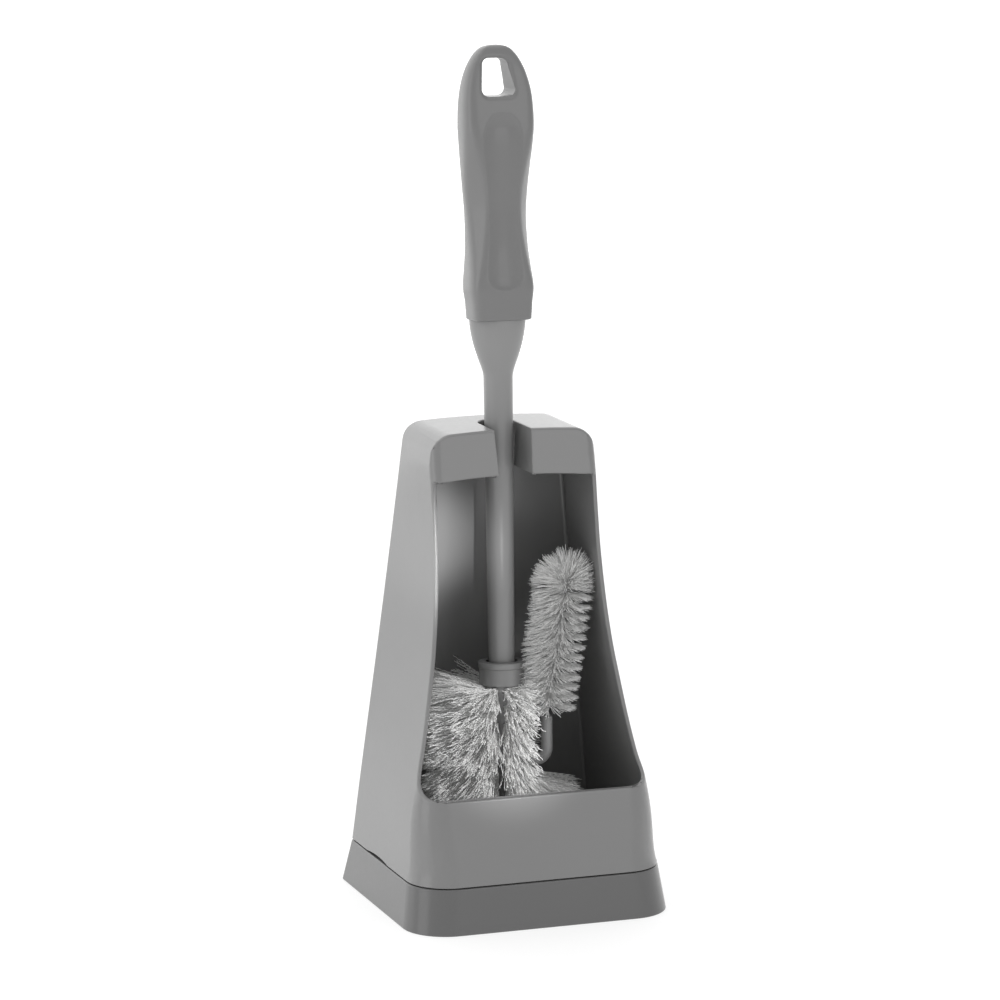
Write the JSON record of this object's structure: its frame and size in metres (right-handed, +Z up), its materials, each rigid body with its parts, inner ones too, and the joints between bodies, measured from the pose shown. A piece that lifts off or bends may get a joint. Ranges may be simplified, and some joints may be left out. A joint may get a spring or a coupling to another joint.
{
  "type": "toilet brush holder",
  "caption": "Toilet brush in a tapered open-front holder on a flared drip tray, with a tufted head and a small hooked rim brush beside it.",
  "frame": {"origin": "centre of the tray's foot, on the surface that it stands on", "axes": "+X to the holder's right, +Y to its back, +Z up; the open window faces -Y"},
  "size_m": [0.13, 0.1142, 0.4027],
  "materials": {
    "shell_plastic": "smooth, semi-gloss",
    "tray_plastic": "smooth, semi-gloss",
    "grip_plastic": "smooth, semi-gloss",
    "stem_plastic": "smooth, semi-gloss",
    "bristle": "fine crimped filaments",
    "steel_wire": "drawn wire"
  },
  "bodies": {
    "tray": {"base_tray": "tray_plastic"},
    "shell": {"holder_shell": "shell_plastic"},
    "brush": {"handle_grip": "grip_plastic", "handle_stem": "stem_plastic", "head_core": "stem_plastic", "rim_arm": "stem_plastic", "rim_crown": "bristle", "rim_turn_01": "bristle", "rim_turn_02": "bristle", "rim_turn_03": "bristle", "rim_turn_04": "bristle", "rim_turn_05": "bristle", "rim_turn_06": "bristle", "rim_turn_07": "bristle", "rim_turn_08": "bristle", "rim_turn_09": "bristle", "rim_turn_10": "bristle", "rim_turn_11": "bristle", "rim_turn_12": "bristle", "rim_wire_left": "steel_wire", "rim_wire_right": "steel_wire", "tuft_ring_1": "bristle", "tuft_ring_10": "bristle", "tuft_ring_2": "bristle", "tuft_ring_3": "bristle", "tuft_ring_4": "bristle", "tuft_ring_5": "bristle", "tuft_ring_6": "bristle", "tuft_ring_7": "bristle", "tuft_ring_8": "bristle", "tuft_ring_9": "bristle", "tuft_staples": "steel_wire"}
  },
  "joints": [
    {"name": "shell_lift", "type": "slide", "parent": "tray", "child": "shell", "axis": [0, 0, 1], "range_m": [0, 0.02]},
    {"name": "brush_lift_out", "type": "hinge", "parent": "tray", "child": "brush", "pos_m": [0, -0.13, 0.035], "axis": [1, 0, 0], "range_deg": [0, 90]}
  ]
}
